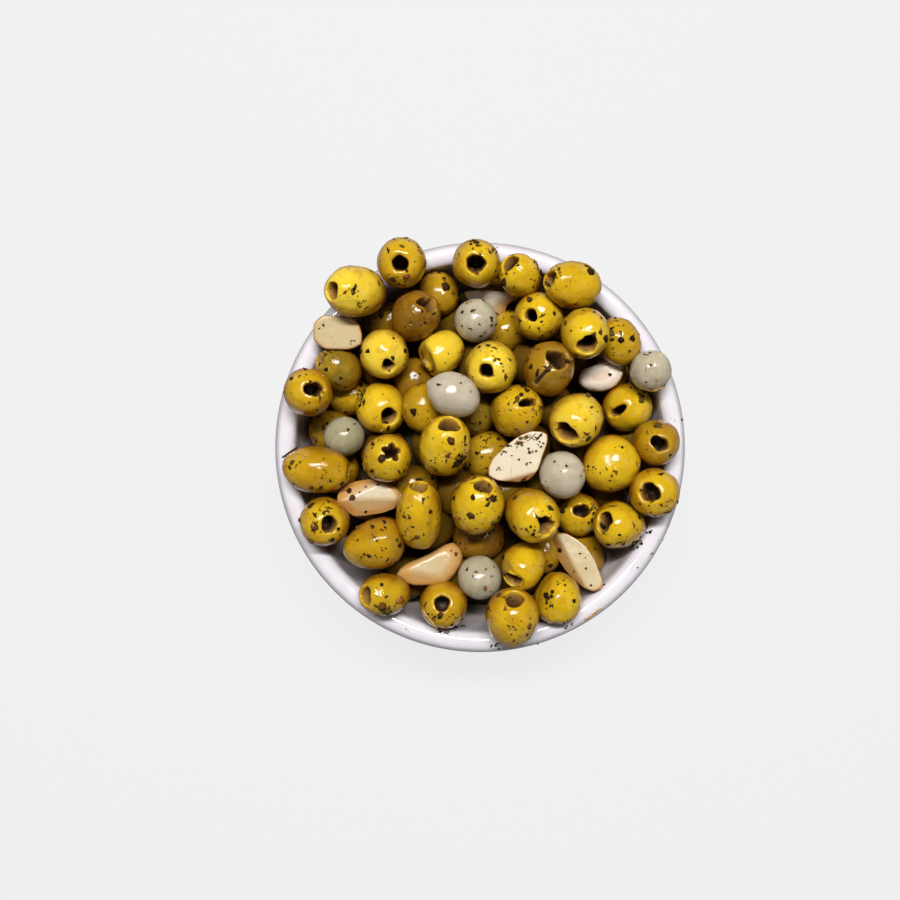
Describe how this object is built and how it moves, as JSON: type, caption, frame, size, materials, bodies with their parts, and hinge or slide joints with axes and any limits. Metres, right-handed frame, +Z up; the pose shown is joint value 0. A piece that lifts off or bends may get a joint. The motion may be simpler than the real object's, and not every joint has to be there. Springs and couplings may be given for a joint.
{
  "type": "bowl of olives",
  "caption": "round glazed bowl with a rolled rim and foot ring, heaped with pitted green olives, peeled garlic cloves, pearl onions and dried herbs",
  "frame": {"origin": "middle of the foot ring's underside, on the bowl's axis, at the level of the table", "axes": "+Z up along the bowl's axis, +Y towards the top edge of the picture, +X towards its right edge"},
  "size_m": [0.15, 0.15, 0.0784],
  "materials": {
    "glaze": "white ceramic glaze with a faint mauve cast, glossy",
    "olive_skin": "oiled green-yellow olive skin, mottled, with a wet shine",
    "garlic_flesh": "waxy cream garlic flesh, slightly translucent, oiled",
    "onion_skin": "translucent grey-white onion layers with fine veins, wet"
  },
  "bodies": {
    "root": {"bowl": "glaze", "olives": "olive_skin", "garlic_1": "garlic_flesh", "garlic_2": "garlic_flesh", "garlic_3": "garlic_flesh", "garlic_4": "garlic_flesh", "garlic_5": "garlic_flesh", "garlic_6": "garlic_flesh", "garlic_7": "garlic_flesh", "onion_1": "onion_skin", "onion_2": "onion_skin", "onion_3": "onion_skin", "onion_4": "onion_skin", "onion_5": "onion_skin", "onion_6": "onion_skin"}
  },
  "joints": []
}
